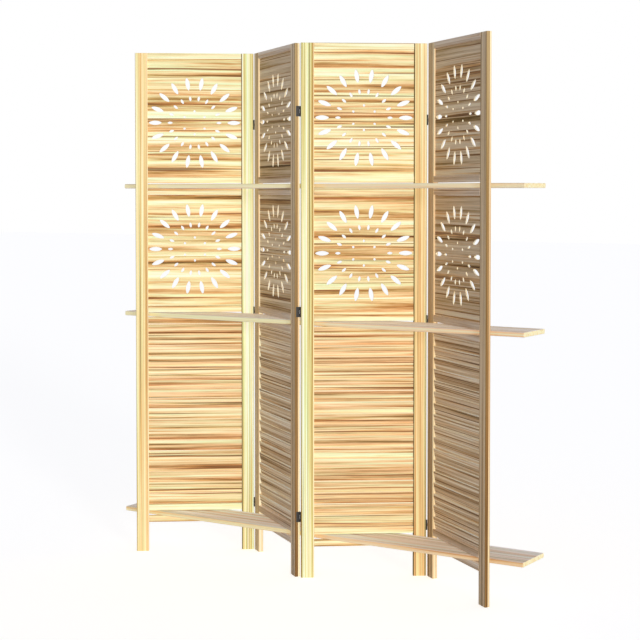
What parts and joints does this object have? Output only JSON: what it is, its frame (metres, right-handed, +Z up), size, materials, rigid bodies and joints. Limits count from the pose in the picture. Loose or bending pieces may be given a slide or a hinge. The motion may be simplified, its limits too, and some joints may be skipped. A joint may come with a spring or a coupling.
{
  "type": "folding screen with shelves",
  "caption": "Zigzag folding room divider: hinged wooden panels with louvres and sunburst fretwork, with long shelves passed through slots.",
  "frame": {"origin": "on the floor, midway along the run of the shelves and midway front to back", "axes": "+X along the shelves to the viewer's right, +Y away from the front, +Z up"},
  "size_m": [1.5098, 0.2494, 1.7],
  "materials": {
    "stile_wood": "satin, streaked grain upright",
    "rail_wood": "satin, streaked grain along the rail",
    "board_wood": "satin, streaked grain across the board",
    "louvre_wood": "satin, streaked grain",
    "shelf_wood": "satin, streaked grain along the shelf",
    "hinge_metal": "black, semi-gloss"
  },
  "bodies": {
    "panel_1": {"panel_1_left_stile": "stile_wood", "panel_1_right_stile_louvres": "louvre_wood", "panel_1_lower_shelf_rail": "rail_wood", "panel_1_lower_cap_rail": "rail_wood", "panel_1_middle_shelf_rail": "rail_wood", "panel_1_upper_shelf_rail": "rail_wood", "panel_1_top_rail": "rail_wood", "panel_1_lower_fret_board": "board_wood", "panel_1_upper_fret_board": "board_wood", "hinge_1_2_low_outer_leaf": "hinge_metal", "hinge_1_2_middle_outer_leaf": "hinge_metal", "hinge_1_2_top_outer_leaf": "hinge_metal"},
    "panel_2": {"panel_2_left_stile": "stile_wood", "panel_2_right_stile_louvres": "louvre_wood", "panel_2_lower_shelf_rail": "rail_wood", "panel_2_lower_cap_rail": "rail_wood", "panel_2_middle_shelf_rail": "rail_wood", "panel_2_upper_shelf_rail": "rail_wood", "panel_2_top_rail": "rail_wood", "panel_2_lower_fret_board": "board_wood", "panel_2_upper_fret_board": "board_wood", "hinge_1_2_low_pin_leaf": "hinge_metal", "hinge_1_2_middle_pin_leaf": "hinge_metal", "hinge_1_2_top_pin_leaf": "hinge_metal", "hinge_2_3_low_outer_leaf": "hinge_metal", "hinge_2_3_middle_outer_leaf": "hinge_metal", "hinge_2_3_top_outer_leaf": "hinge_metal"},
    "panel_3": {"panel_3_left_stile": "stile_wood", "panel_3_right_stile_louvres": "louvre_wood", "panel_3_lower_shelf_rail": "rail_wood", "panel_3_lower_cap_rail": "rail_wood", "panel_3_middle_shelf_rail": "rail_wood", "panel_3_upper_shelf_rail": "rail_wood", "panel_3_top_rail": "rail_wood", "panel_3_lower_fret_board": "board_wood", "panel_3_upper_fret_board": "board_wood", "hinge_2_3_low_pin_leaf": "hinge_metal", "hinge_2_3_middle_pin_leaf": "hinge_metal", "hinge_2_3_top_pin_leaf": "hinge_metal", "hinge_3_4_low_outer_leaf": "hinge_metal", "hinge_3_4_middle_outer_leaf": "hinge_metal", "hinge_3_4_top_outer_leaf": "hinge_metal"},
    "panel_4": {"panel_4_left_stile": "stile_wood", "panel_4_right_stile_louvres": "louvre_wood", "panel_4_lower_shelf_rail": "rail_wood", "panel_4_lower_cap_rail": "rail_wood", "panel_4_middle_shelf_rail": "rail_wood", "panel_4_upper_shelf_rail": "rail_wood", "panel_4_top_rail": "rail_wood", "panel_4_lower_fret_board": "board_wood", "panel_4_upper_fret_board": "board_wood", "hinge_3_4_low_pin_leaf": "hinge_metal", "hinge_3_4_middle_pin_leaf": "hinge_metal", "hinge_3_4_top_pin_leaf": "hinge_metal"},
    "lower_shelf": {"lower_shelf": "shelf_wood"},
    "middle_shelf": {"middle_shelf": "shelf_wood"},
    "upper_shelf": {"upper_shelf": "shelf_wood"}
  },
  "joints": [
    {"name": "hinge_1_2", "type": "hinge", "parent": "panel_1", "child": "panel_2", "pos_m": [-0.34037, 0.11102, 0.821], "axis": [0, 0, -1], "range_deg": [-10, 106]},
    {"name": "hinge_2_3", "type": "hinge", "parent": "panel_2", "child": "panel_3", "pos_m": [-0.0045, -0.11102, 0.821], "axis": [0, 0, 1], "range_deg": [-10, 106]},
    {"name": "hinge_3_4", "type": "hinge", "parent": "panel_3", "child": "panel_4", "pos_m": [0.33137, 0.11102, 0.821], "axis": [0, 0, -1], "range_deg": [-10, 106]},
    {"name": "shelf_swing", "type": "hinge", "parent": "panel_1", "child": "lower_shelf", "pos_m": [-0.50831, 0, 0.1288], "axis": [0, 0, -1], "range_deg": [-5, 53]},
    {"name": "middle_shelf_slide", "type": "slide", "parent": "lower_shelf", "child": "middle_shelf", "axis": [1, 0, 0], "range_m": [-1.5, 1.5]},
    {"name": "upper_shelf_slide", "type": "slide", "parent": "lower_shelf", "child": "upper_shelf", "axis": [1, 0, 0], "range_m": [-1.5, 1.5]}
  ],
  "couplings": [
    {"joint": "hinge_2_3", "follows": "hinge_1_2", "ratio": 1},
    {"joint": "hinge_3_4", "follows": "hinge_1_2", "ratio": 1},
    {"joint": "shelf_swing", "follows": "hinge_1_2", "ratio": 0.5}
  ]
}
